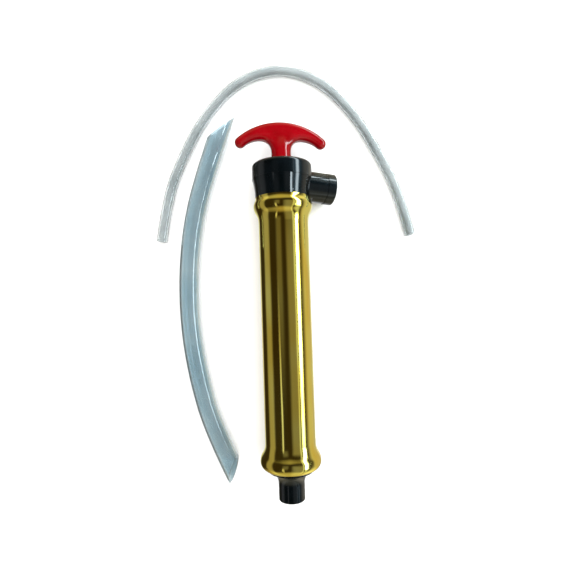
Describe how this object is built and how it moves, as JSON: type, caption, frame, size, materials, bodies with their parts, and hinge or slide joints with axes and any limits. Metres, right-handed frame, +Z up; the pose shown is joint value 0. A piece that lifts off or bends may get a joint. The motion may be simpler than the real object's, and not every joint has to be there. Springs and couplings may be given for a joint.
{
  "type": "hand bilge pump",
  "caption": "Hand lift bilge pump with brass barrel, black head and side spout, black inlet foot and red T-handle, lying on its side beside cut lengths of clear hose.",
  "frame": {"origin": "on the surface that the pump lies on, under the middle of the pump's bounding box, hoses left out", "axes": "+Z up, +Y along the pump's axis towards the handle, +X to the spout's side"},
  "size_m": [0.2779, 0.4536, 0.061],
  "materials": {
    "polished_brass": "polished, faint draw marks along the tube",
    "turned_brass": "turned",
    "black_plastic": "glossy moulded",
    "red_plastic": "glossy moulded",
    "white_plastic": "machined acetal",
    "black_rubber": "matt nitrile",
    "stainless_steel": "fine ground",
    "clear_hose": "smooth clear soft PVC, slightly milky"
  },
  "bodies": {
    "casing": {"barrel": "polished_brass", "foot": "black_plastic", "foot_o_ring": "black_rubber", "foot_guide_screw": "stainless_steel", "head": "black_plastic", "head_o_ring": "black_rubber", "gland_bush": "turned_brass", "rod_wiper": "black_rubber", "rod_seal": "black_rubber", "seal_backing_ring": "stainless_steel", "buffer_washer": "black_rubber", "thick_hose": "clear_hose", "thin_hose": "clear_hose"},
    "piston": {"piston_body": "white_plastic", "clamp_plate": "turned_brass", "cup_seal": "black_rubber"},
    "plunger_rod": {"piston_rod": "stainless_steel", "piston_nut": "stainless_steel", "piston_washer": "stainless_steel", "valve_stop_clip": "stainless_steel", "stop_sleeve": "white_plastic", "handle": "red_plastic", "handle_insert": "turned_brass", "handle_lock_nut": "stainless_steel"},
    "piston_valve": {"piston_valve_disc": "black_rubber"},
    "foot_valve": {"foot_valve_disc": "black_rubber"}
  },
  "joints": [
    {"name": "piston_lift", "type": "slide", "parent": "casing", "child": "piston", "axis": [0, 1, 0], "range_m": [0, 0.195]},
    {"name": "handle_swivel", "type": "hinge", "parent": "piston", "child": "plunger_rod", "pos_m": [-0.00488, 0, 0.0305], "axis": [0, 1, 0], "continuous": true},
    {"name": "piston_valve_lift", "type": "slide", "parent": "piston", "child": "piston_valve", "axis": [0, 1, 0], "range_m": [0, 0.003]},
    {"name": "foot_valve_lift", "type": "slide", "parent": "casing", "child": "foot_valve", "axis": [0, 1, 0], "range_m": [0, 0.003]}
  ]
}
